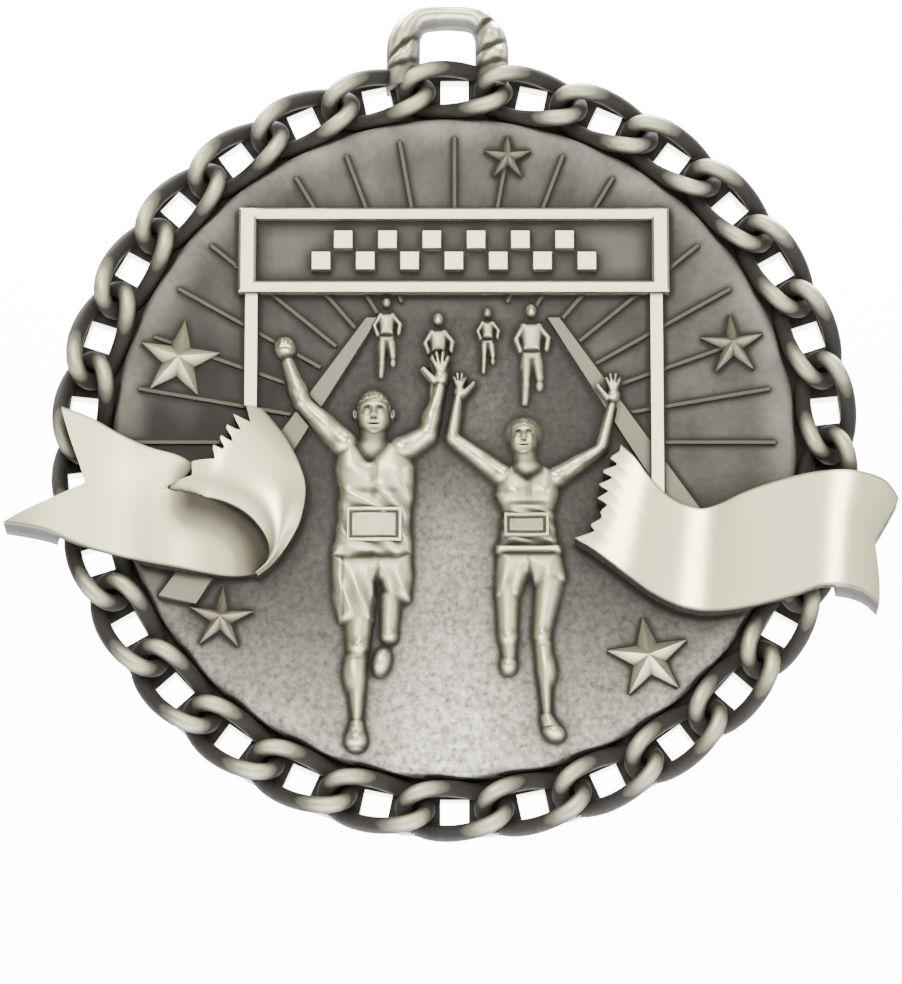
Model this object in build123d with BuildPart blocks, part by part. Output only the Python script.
from build123d import *
import os
from math import cos, pi, radians, sin

# Finisher medal, upright as worn: +Z towards the ribbon loop, the picture
# faces -Y, and the flat back lies on y = 0. Heights are counted forward
# from the back. Every size is in millimetres.

# Plate and field
PLATE_T = 1.6          # thickness of the pierced back plate
PLATE_LIP = 1.7        # plate edge beyond the middle of the chain
BACK_EDGE = 0.3        # chamfer round the back
FIELD_R = 26.9         # radius of the raised picture disc
FIELD_T = 1.6          # its thickness on the plate
FIELD_ROUND = 0.55     # rounded shoulder of the disc

# Curb chain round the disc
LINKS = 30
WIRE_R = 0.66          # radius of the link wire
LINK_HALF_W = 1.76     # middle of the wire to the middle of the link
LINK_LAP = 0.9         # how far a link reaches past half the pitch
LINK_MID_H = 2.5      # height of the middle of a link
LINK_TWIST = 0.82      # rise and fall of the twisted wire
LINK_SLIT = 0.02       # half angle left open where the wire closes
LINK_GAP = 0.06        # clearance between chain and disc
HOLE_SIDE = 2.2        # square piercing between two links

# Ribbon loop
LOOP_W = 9.8
LOOP_X = -0.55         # the loop stands a little left of the middle
LOOP_RISE = 4.75       # loop above the chain
LOOP_T = 3.7           # depth from the back
LOOP_ROUND = 0.5
SLOT_W = 4.25
SLOT_H = 3.3
LOOP_TOP_BAR = 1.3
GROOVE_R = 0.28

# Relief heights above the field
FRAME_RISE = 1.2
PANEL_RISE = 0.35
CHEQUER_RISE = 0.65
POST_RISE = 0.8
ROAD_RISE = 0.5
RAY_RISE = 0.25
FAR_RISE = 0.75
STAR_BASE = 0.3
STAR_RISE = 1.5
LEG_RISE = 1.05
SHORTS_RISE = 1.25
TORSO_RISE = 1.4
ARM_RISE = 1.3
HEAD_RISE = 1.7
BIB_RISE = 0.25
LIMB_SLOPE = 0.25      # inward lean of a limb's side for its height
CLOTH_TAPER = 14       # lean of the clothes' sides in degrees

# Banner
BANNER_W = 34.0
BANNER_H = 6.9
BANNER_X = -0.05
BANNER_Z = 15.55
BANNER_SIDE = 1.35     # side bar of the frame
BANNER_BAR = 0.87      # top and bottom bars
CHEQUER = 1.6          # side of one raised square
CHEQUER_PITCH = 1.75
CHEQUER_COLUMNS = 13
CHEQUER_ROWS = 2
POST_W = 0.95
POST_INSET = 0.55      # post edge inside the banner's end

# Torn finish tape
TAPE_GAP = 0.1         # clearance over and beside the links
TAPE_BACK = 1.2        # back of the tails where they pass the chain

# What follows from the values above
FIELD_H = PLATE_T + FIELD_T
CHAIN_R = FIELD_R + LINK_GAP + WIRE_R + LINK_HALF_W
CHAIN_EDGE = CHAIN_R + LINK_HALF_W + WIRE_R
CHAIN_TOP = LINK_MID_H + LINK_TWIST + WIRE_R
PITCH = 2 * pi * CHAIN_R / LINKS
SCENE = FIELD_R / 26.9  # the picture is drawn for a disc of this radius

os.makedirs("parts", exist_ok=True)


def front(height):
    """Plane parallel to the back at this height, looking out of the picture."""
    return Plane.XZ.offset(height)


def save(piece, name):
    piece.label = name
    export_step(piece, f"parts/{name}.step")


def spread(points):
    """Picture points scaled to the disc."""
    return [(x * SCENE, z * SCENE) for x, z in points]


def slab(points, rise, taper=0.0, start=0.0):
    """Polygon standing on the field."""
    with BuildPart() as piece:
        with BuildSketch(front(FIELD_H + start)):
            with BuildLine():
                Polyline(*spread(points), close=True)
            make_face()
        extrude(amount=rise, taper=taper)
    return piece.part


def limb(x1, z1, r1, x2, z2, r2, rise):
    """Bar with two round ends and sloping sides, standing on the field."""
    one, two = Vector(x1, z1) * SCENE, Vector(x2, z2) * SCENE
    along = (two - one).normalized()
    across = Vector(-along.Y, along.X)
    lean = (r1 - r2) * SCENE / (two - one).length
    up = along * lean + across * (1 - lean * lean) ** 0.5
    down = along * lean - across * (1 - lean * lean) ** 0.5
    slope = min(rise * LIMB_SLOPE, 0.5 * min(r1, r2) * SCENE)
    with BuildPart() as piece:
        for height, inset in ((0, 0), (rise, slope)):
            near, far_r = r1 * SCENE - inset, r2 * SCENE - inset
            with BuildSketch(front(FIELD_H + height)):
                with BuildLine():
                    Line(one + up * near, two + up * far_r)
                    ThreePointArc(two + up * far_r, two + along * far_r, two + down * far_r)
                    Line(two + down * far_r, one + down * near)
                    ThreePointArc(one + down * near, one - along * near, one + up * near)
                make_face()
        loft(ruled=True)
    return piece.part


def head(x, z, half_w, half_h, rise):
    """Egg-shaped boss cut off at the field."""
    egg = scale(Sphere(1.0), by=(half_w * SCENE, rise, half_h * SCENE))
    egg = Location((x * SCENE, -FIELD_H, z * SCENE)) * egg
    with BuildPart() as piece:
        add(egg)
        split(bisect_by=front(FIELD_H), keep=Keep.TOP)
    return piece.part


# ---- back plate with its square piercings -------------------------------
with BuildPart() as back_plate:
    with BuildSketch(front(0)):
        Circle(CHAIN_R + PLATE_LIP)
        with PolarLocations(CHAIN_R, LINKS, start_angle=90):
            Rectangle(HOLE_SIDE, HOLE_SIDE, mode=Mode.SUBTRACT)
    extrude(amount=PLATE_T)
    chamfer(back_plate.edges().group_by(Axis.Y)[-1].sort_by(SortBy.LENGTH)[-1], BACK_EDGE)
save(back_plate.part, "back_plate")

# ---- picture disc --------------------------------------------------------
with BuildPart() as field_disc:
    with BuildSketch(front(PLATE_T)):
        Circle(FIELD_R)
    extrude(amount=FIELD_T)
    fillet(field_disc.edges().sort_by(Axis.Y)[0], FIELD_ROUND)
save(field_disc.part, "field_disc")


# ---- curb chain ----------------------------------------------------------
def wire_point(t):
    """Middle of the link wire: an oval whose sides are twisted up and down."""
    turn = (PITCH / 2 + LINK_LAP) * cos(t) / CHAIN_R
    out = CHAIN_R + LINK_HALF_W * sin(t)
    return (out * sin(turn), -(LINK_MID_H - LINK_TWIST * sin(2 * t)), out * cos(turn))


WIRE_STEPS = 24
begin = pi / 4 + LINK_SLIT
sweep_angle = 2 * pi - 2 * LINK_SLIT
with BuildPart() as whole_link:
    with BuildLine() as wire_path:
        Spline(*[wire_point(begin + sweep_angle * i / WIRE_STEPS) for i in range(WIRE_STEPS + 1)])
    with BuildSketch(Plane(origin=wire_path.line @ 0, z_dir=wire_path.line % 0)):
        Circle(WIRE_R)
    sweep()

with BuildPart() as link:
    add(whole_link.part)
    add(whole_link.part.rotate(Axis.Y, 360 / LINKS), mode=Mode.SUBTRACT)
    add(back_plate.part, mode=Mode.SUBTRACT)
for i in range(LINKS):
    save(link.part.rotate(Axis.Y, i * 360 / LINKS), f"chain_link_{i + 1:02d}")

# ---- ribbon loop ---------------------------------------------------------
loop_top = CHAIN_EDGE + LOOP_RISE
slot_top = loop_top - LOOP_TOP_BAR
loop_foot = CHAIN_R
with BuildPart() as ribbon_loop:
    with BuildSketch(front(0)):
        with Locations((LOOP_X, (loop_top + loop_foot) / 2)):
            RectangleRounded(LOOP_W, loop_top - loop_foot, 2.6)
        with Locations((LOOP_X, slot_top - SLOT_H / 2)):
            RectangleRounded(SLOT_W, SLOT_H, 1.2, mode=Mode.SUBTRACT)
    extrude(amount=LOOP_T)
    fillet(ribbon_loop.faces().sort_by(Axis.Y)[0].edges(), LOOP_ROUND)
    fillet(ribbon_loop.faces().sort_by(Axis.Y)[-1].edges(), BACK_EDGE)
    for x1, z1, x2, z2 in ((-4.9, 2.6, -2.4, 1.1), (-4.2, 4.0, -1.6, 2.6),
                           (-1.2, 4.6, 1.2, 2.6), (1.4, 3.0, 3.9, 4.4),
                           (1.6, 1.6, 4.9, 3.2)):
        a = Vector(LOOP_X + x1, -LOOP_T, CHAIN_EDGE + z1)
        b = Vector(LOOP_X + x2, -LOOP_T, CHAIN_EDGE + z2)
        along = (b - a).normalized()
        groove = Cylinder(GROOVE_R, (b - a).length, mode=Mode.PRIVATE)
        add(Plane(origin=(a + b) * 0.5, z_dir=along) * groove, mode=Mode.SUBTRACT)
    add(back_plate.part, mode=Mode.SUBTRACT)
    for i in (-1, 0, 1):
        add(whole_link.part.rotate(Axis.Y, i * 360 / LINKS), mode=Mode.SUBTRACT)
save(ribbon_loop.part.solids().sort_by(SortBy.VOLUME)[-1], "ribbon_loop")

# ---- banner --------------------------------------------------------------
banner_w = BANNER_W * SCENE
banner_h = BANNER_H * SCENE
banner_at = (BANNER_X * SCENE, BANNER_Z * SCENE)
opening = (banner_w - 2 * BANNER_SIDE, banner_h - 2 * BANNER_BAR)
with BuildPart() as banner_frame:
    with BuildSketch(front(FIELD_H)):
        with Locations(banner_at):
            Rectangle(banner_w, banner_h)
            Rectangle(*opening, mode=Mode.SUBTRACT)
    extrude(amount=FRAME_RISE)
    chamfer(banner_frame.edges().group_by(Axis.Y)[0], 0.18)
save(banner_frame.part, "banner_frame")

with BuildPart() as banner_panel:
    with BuildSketch(front(FIELD_H)):
        with Locations(banner_at):
            Rectangle(*opening)
    extrude(amount=PANEL_RISE)
save(banner_panel.part, "banner_panel")

with BuildPart() as banner_chequers:
    with BuildSketch(front(FIELD_H + PANEL_RISE)):
        for column in range(CHEQUER_COLUMNS):
            for row in range(CHEQUER_ROWS):
                if (column + row) % 2 == 0:
                    x = banner_at[0] + (column - (CHEQUER_COLUMNS - 1) / 2) * CHEQUER_PITCH
                    z = banner_at[1] + (row - (CHEQUER_ROWS - 1) / 2) * CHEQUER_PITCH
                    with Locations((x, z)):
                        Rectangle(CHEQUER, CHEQUER)
    extrude(amount=CHEQUER_RISE, taper=8)
save(banner_chequers.part, "banner_chequers")

# ---- figures -------------------------------------------------------------
# limbs: x and z of one end and its radius, then of the other end
RUNNER_LEFT = {
    "arms": ((-9.0, -0.2, 1.15, -12.0, 3.2, 0.95), (-12.0, 3.2, 0.95, -13.1, 6.4, 0.75),
             (-13.3, 7.3, 0.95, -13.3, 8.0, 0.95), (-4.0, -0.8, 1.1, -2.0, 0.7, 0.85),
             (-2.0, 0.7, 0.85, -1.1, 4.3, 0.6), (-1.1, 5.1, 0.75, -1.1, 6.3, 0.6),
             (-1.6, 5.2, 0.3, -2.5, 6.0, 0.28)),
    "legs": ((-7.5, -14.3, 1.15, -7.6, -17.6, 0.95), (-7.75, -17.9, 1.05, -7.65, -22.2, 0.5),
             (-7.65, -23.0, 0.65, -7.65, -24.3, 0.75), (-5.0, -12.8, 0.9, -5.1, -15.7, 0.75),
             (-5.6, -17.0, 0.65, -5.85, -18.3, 0.7)),
    "neck": ((-6.4, 0.6, 0.9, -6.5, -1.0, 1.0),),
    "torso": ((-9.2, 0.5), (-7.6, 1.0), (-5.2, 0.9), (-3.8, 0.2), (-2.9, -1.7), (-3.2, -6.5),
              (-3.3, -9.3), (-9.7, -9.5), (-9.2, -6.5), (-9.3, -2.5)),
    "shorts": ((-9.6, -9.3), (-3.3, -9.1), (-3.3, -12.9), (-5.3, -12.8), (-5.9, -11.5),
               (-6.1, -14.7), (-9.0, -14.6), (-9.55, -12.8)),
    "head": (-6.35, 2.2, 1.45, 2.15),
    "bib": (-6.3, -6.95, 4.3, 2.7),
}
RUNNER_RIGHT = {
    "arms": ((3.8, -2.7, 0.9, -0.2, 0.2, 0.65), (-0.2, 0.2, 0.65, 0.3, 3.5, 0.5),
             (0.4, 4.2, 0.6, 0.4, 4.9, 0.5), (0.8, 4.2, 0.25, 1.25, 4.7, 0.22),
             (7.9, -3.0, 0.9, 11.3, -0.7, 0.7), (11.5, -0.5, 0.7, 12.35, 2.6, 0.5),
             (12.45, 3.8, 0.65, 12.5, 4.9, 0.5)),
    "legs": ((4.1, -12.4, 0.9, 4.1, -16.6, 0.8), (4.2, -17.7, 0.75, 4.2, -18.2, 0.78),
             (7.4, -11.9, 1.1, 6.8, -15.6, 0.85), (7.1, -16.6, 0.9, 7.1, -21.7, 0.42),
             (7.2, -22.6, 0.6, 7.9, -23.5, 0.75)),
    "neck": ((5.4, -0.9, 0.75, 5.6, -2.4, 0.8),),
    "torso": ((3.2, -2.0), (4.6, -1.9), (6.9, -1.9), (8.4, -2.3), (8.3, -3.9), (7.9, -6.3),
              (8.4, -9.2), (3.2, -9.2), (3.75, -5.9), (3.1, -3.7)),
    "shorts": ((3.2, -9.0), (8.4, -9.0), (8.75, -11.4), (6.4, -12.0), (5.9, -11.0),
               (5.1, -12.8), (3.15, -12.7)),
    "head": (5.4, 0.4, 1.3, 1.75),
    "bib": (5.6, -7.0, 3.5, 1.85),
}
FAR_RUNNERS = (
    ((-5.4, 11.45, 0.43, -5.4, 11.35, 0.43), (-5.35, 10.3, 0.52, -5.4, 8.7, 0.48),
     (-5.8, 10.4, 0.2, -6.45, 9.4, 0.2), (-4.9, 10.4, 0.2, -3.95, 9.5, 0.2),
     (-5.6, 8.2, 0.35, -5.7, 5.4, 0.25), (-5.1, 8.2, 0.35, -5.0, 5.3, 0.25)),
    ((-1.3, 10.1, 0.5, -1.3, 10.0, 0.5), (-1.3, 8.7, 0.62, -1.3, 7.2, 0.55),
     (-1.9, 8.9, 0.3, -2.5, 7.9, 0.28), (-0.7, 8.9, 0.3, -0.1, 7.9, 0.28)),
    ((2.6, 10.6, 0.4, 2.6, 10.5, 0.4), (2.6, 9.5, 0.5, 2.6, 8.2, 0.42),
     (2.2, 9.6, 0.2, 1.85, 8.6, 0.18), (3.0, 9.6, 0.2, 3.45, 8.7, 0.18),
     (2.4, 7.8, 0.3, 2.4, 6.3, 0.22), (2.8, 7.8, 0.3, 2.9, 6.4, 0.22)),
    ((6.05, 10.85, 0.55, 6.05, 10.75, 0.55), (6.1, 9.1, 0.75, 6.2, 7.4, 0.68),
     (5.5, 9.3, 0.32, 4.85, 7.8, 0.28), (6.8, 9.3, 0.32, 7.6, 8.4, 0.28),
     (5.7, 6.9, 0.5, 5.65, 4.9, 0.36), (5.65, 4.9, 0.36, 5.6, 3.3, 0.28),
     (6.6, 6.9, 0.5, 6.75, 5.4, 0.38)),
)


def runner(shape):
    pieces = [limb(*bar, LEG_RISE) for bar in shape["legs"] + shape["neck"]]
    pieces.append(slab(shape["shorts"], SHORTS_RISE, CLOTH_TAPER))
    pieces.append(slab(shape["torso"], TORSO_RISE, CLOTH_TAPER))
    pieces += [limb(*bar, ARM_RISE) for bar in shape["arms"]]
    pieces.append(head(*shape["head"], HEAD_RISE))
    with BuildPart() as figure:
        for piece in pieces:
            add(piece)
    return figure.part


def bib(x, z, wide, high):
    with BuildPart() as piece:
        with BuildSketch(front(FIELD_H + TORSO_RISE)):
            with Locations((x * SCENE, z * SCENE)):
                Rectangle(wide * SCENE, high * SCENE)
        extrude(amount=BIB_RISE)
        chamfer(piece.edges().group_by(Axis.Y)[0], 0.08)
    return piece.part


def far_runner(limbs):
    pieces = [limb(*bar, FAR_RISE) for bar in limbs]
    with BuildPart() as figure:
        for piece in pieces:
            add(piece)
    return figure.part


runner_right = runner(RUNNER_RIGHT)
runner_left = runner(RUNNER_LEFT) - runner_right
far = [far_runner(limbs) - runner_left - runner_right for limbs in FAR_RUNNERS]
save(runner_left, "runner_left")
save(runner_right, "runner_right")
save(bib(*RUNNER_LEFT["bib"]), "runner_left_bib")
save(bib(*RUNNER_RIGHT["bib"]), "runner_right_bib")
for number, piece in enumerate(far, 1):
    save(piece, f"far_runner_{number}")

# ---- stars ---------------------------------------------------------------
# name, middle x and z, point radius, hollow radius, turn in degrees
STARS = (
    ("star_top", 4.2, 23.4, 1.95, 0.62, 0),
    ("star_left", -21.7, 6.7, 3.3, 1.32, 8),
    ("star_right", 21.9, 7.9, 2.6, 0.82, -4),
    ("star_lower_left", -18.2, -14.3, 2.6, 0.82, 4),
    ("star_lower_right", 15.1, -17.4, 3.3, 1.32, -8),
)
stars = []
for name, x, z, point_r, hollow_r, turn in STARS:
    corners = []
    for k in range(10):
        reach = point_r if k % 2 == 0 else hollow_r
        bearing = radians(turn + 36 * k)
        corners.append((x + reach * sin(bearing), z + reach * cos(bearing)))
    with BuildPart() as star:
        with BuildSketch(front(FIELD_H)):
            with BuildLine():
                Polyline(*spread(corners), close=True)
            make_face()
        extrude(amount=STAR_BASE)
        peak = Vertex(x * SCENE, -(FIELD_H + STAR_RISE), z * SCENE)
        with BuildSketch(front(FIELD_H + STAR_BASE)) as star_top_face:
            with BuildLine():
                Polyline(*spread(corners), close=True)
            make_face()
        loft(sections=[star_top_face.sketch.faces()[0], peak], ruled=True)
    stars.append(star.part)
    save(star.part, name)

# ---- torn finish tape ----------------------------------------------------
with BuildPart() as under_tape:
    with BuildSketch(front(0)):
        Circle(CHAIN_EDGE + TAPE_GAP)
    extrude(amount=FIELD_H)
    with BuildSketch(front(FIELD_H)):
        Circle(CHAIN_EDGE + TAPE_GAP)
        Circle(FIELD_R + LINK_GAP / 2, mode=Mode.SUBTRACT)
    extrude(amount=CHAIN_TOP + TAPE_GAP - FIELD_H)


def wavy_block(profile):
    """Block under a waved top; the profile gives x and height on the field."""
    low = profile[0][0] * SCENE
    high = profile[-1][0] * SCENE
    with BuildPart() as block:
        with BuildSketch(Plane.XY.offset(-24 * SCENE)):
            with BuildLine():
                Spline(*[(x * SCENE, -FIELD_H - rise) for x, rise in profile])
                Polyline((high, -FIELD_H - profile[-1][1]), (high, -TAPE_BACK),
                         (low, -TAPE_BACK), (low, -FIELD_H - profile[0][1]))
            make_face()
        extrude(amount=34 * SCENE)
    return block.part


def tape(edges, profile):
    """Tape piece: smooth and torn edges in turn, under a waved top."""
    waved = wavy_block(profile)
    with BuildPart() as piece:
        with BuildSketch(front(TAPE_BACK)):
            with BuildLine():
                for smooth, points in edges:
                    if smooth:
                        Spline(*spread(points))
                    else:
                        Polyline(*spread(points))
            make_face()
        extrude(amount=7)
        add(waved, mode=Mode.INTERSECT)
        add(under_tape.part, mode=Mode.SUBTRACT)
    return piece.part


TAIL_EDGES = (
    (False, ((-35.2, -6.9), (-32.5, -5.1), (-30.5, -4.1), (-29.0, -3.3), (-30.0, -0.6), (-31.1, 1.9),
             (-30.6, 2.4))),
    (True, ((-30.6, 2.4), (-28.5, 1.6), (-26.1, 0.3), (-23.7, -0.8), (-21.3, -1.5), (-20.3, -2.3),
            (-20.8, -3.5), (-22.9, -4.7))),
    (False, ((-22.9, -4.7), (-22.9, -10.2))),
    (True, ((-22.9, -10.2), (-26.1, -9.5), (-29.3, -8.6), (-32.0, -7.5), (-35.2, -6.9))),
)
CURL_EDGES = (
    (False, ((-22.85, -10.2), (-22.85, -4.8))),
    (True, ((-22.85, -4.8), (-21.4, -4.0), (-20.2, -2.8), (-20.6, -1.9))),
    (False, ((-20.6, -1.9), (-19.1, -1.0), (-18.3, -1.3), (-17.9, -0.4), (-18.2, 0.7), (-17.1, 0.4),
             (-17.2, 1.5), (-16.4, 1.3), (-16.5, 2.9), (-15.6, 2.4), (-14.9, 2.4))),
    (True, ((-14.9, 2.4), (-13.2, 0.0), (-12.0, -2.6), (-11.6, -4.6), (-12.0, -6.7), (-13.0, -8.7),
            (-14.6, -10.3), (-17.3, -11.1), (-20.0, -10.8), (-22.85, -10.2))),
)
RIGHT_EDGES = (
    (True, ((13.2, -0.5), (14.6, -2.7), (16.5, -4.8), (19.3, -5.9), (22.5, -4.5), (25.8, -3.3),
            (29.8, -2.7), (33.0, -3.1), (35.1, -4.9))),
    (False, ((35.1, -4.9), (34.0, -5.6), (32.8, -6.8), (32.7, -8.2), (32.8, -10.5), (33.1, -14.9))),
    (True, ((33.1, -14.9), (31.2, -12.9), (28.5, -12.4), (24.6, -13.3), (20.3, -14.0), (16.9, -13.5),
            (13.4, -11.1), (10.5, -8.7))),
    (False, ((10.5, -8.7), (8.9, -8.4), (10.3, -7.3), (9.6, -6.6), (10.1, -6.1), (10.4, -4.9),
             (10.0, -3.7), (11.4, -3.4), (11.0, -2.0), (12.4, -2.4), (13.2, -0.5))),
)
tape_left_tail = tape(TAIL_EDGES, ((-36, 1.6), (-32, 2.0), (-28, 2.2), (-25, 1.7), (-22, 1.4), (-19, 1.3)))
tape_left_curl = tape(CURL_EDGES, ((-24, 1.5), (-21, 1.7), (-18, 2.3), (-15, 2.6), (-13, 2.3), (-11, 1.3)))
tape_right = tape(RIGHT_EDGES, ((8, 1.3), (12, 1.9), (15, 2.2), (18, 1.7), (21, 1.9), (25, 1.6),
                                (29, 2.1), (33, 1.8), (36, 1.5)))
tape_left_tail = tape_left_tail - tape_left_curl
tape_right = tape_right - runner_right
save(tape_left_tail, "tape_left_tail")
save(tape_left_curl, "tape_left_curl")
save(tape_right, "tape_right")

# ---- banner posts, road edges and rays, each stopped by what lies over it -
over = [runner_left, runner_right, tape_left_curl, tape_left_tail, tape_right, *far]
banner_foot = (BANNER_Z - BANNER_H / 2) * SCENE
half_banner = banner_w / 2


def clear_of(piece, tools):
    for tool in tools:
        piece = piece - tool
    return piece


POST_FEET = {"banner_post_left": (-1, 1.6), "banner_post_right": (1, -6.0)}
posts = []
for name, (side, foot) in POST_FEET.items():
    with BuildPart() as post:
        with BuildSketch(front(FIELD_H)):
            middle = banner_at[0] + side * (half_banner - POST_INSET - POST_W / 2)
            with Locations((middle, (banner_foot + foot * SCENE) / 2)):
                Rectangle(POST_W, banner_foot - foot * SCENE)
        extrude(amount=POST_RISE)
    stood = clear_of(post.part, over)
    posts.append(stood.solids().sort_by(SortBy.VOLUME)[-1])
    save(posts[-1], name)

ROAD_EDGES = {
    "road_edge_left": ((-7.0, 10.2), (-5.9, 10.2), (-20.1, -13.2), (-23.2, -12.5)),
    "road_edge_right": ((7.2, 10.2), (8.3, 10.2), (23.2, -11.0), (20.8, -12.0)),
}
roads = []
for name, corners in ROAD_EDGES.items():
    road = clear_of(slab(corners, ROAD_RISE, 10), over + posts + stars)
    roads.append(road)
    save(road, name)

RAY_W = 0.26
RAY_STEP = 10
RAY_END = 25.2         # picture radius where the rays stop
RAY_FOOT = 12.2
with BuildPart() as rays:
    with BuildSketch(front(FIELD_H)):
        for step in range(-9, 10):
            bearing = radians(step * RAY_STEP)
            length = (RAY_END - RAY_FOOT) * SCENE
            middle = (RAY_END + RAY_FOOT) / 2 * SCENE
            spot = Location((middle * sin(bearing), middle * cos(bearing)), -step * RAY_STEP)
            with Locations(spot):
                Rectangle(RAY_W, length)
    extrude(amount=RAY_RISE)
with BuildPart() as road_room:
    with BuildSketch(front(FIELD_H)):
        with BuildLine():
            Polyline(*spread(((-7.1, 10.3), (8.4, 10.3), (25.5, -14.0), (-24.5, -14.0))), close=True)
        make_face()
    extrude(amount=RAY_RISE)
with BuildPart() as banner_room:
    with BuildSketch(front(FIELD_H)):
        with Locations(banner_at):
            Rectangle(banner_w, banner_h)
    extrude(amount=RAY_RISE)
sky_rays = clear_of(rays.part, [road_room.part, banner_room.part] + over + posts + stars)
save(sky_rays, "sky_rays")
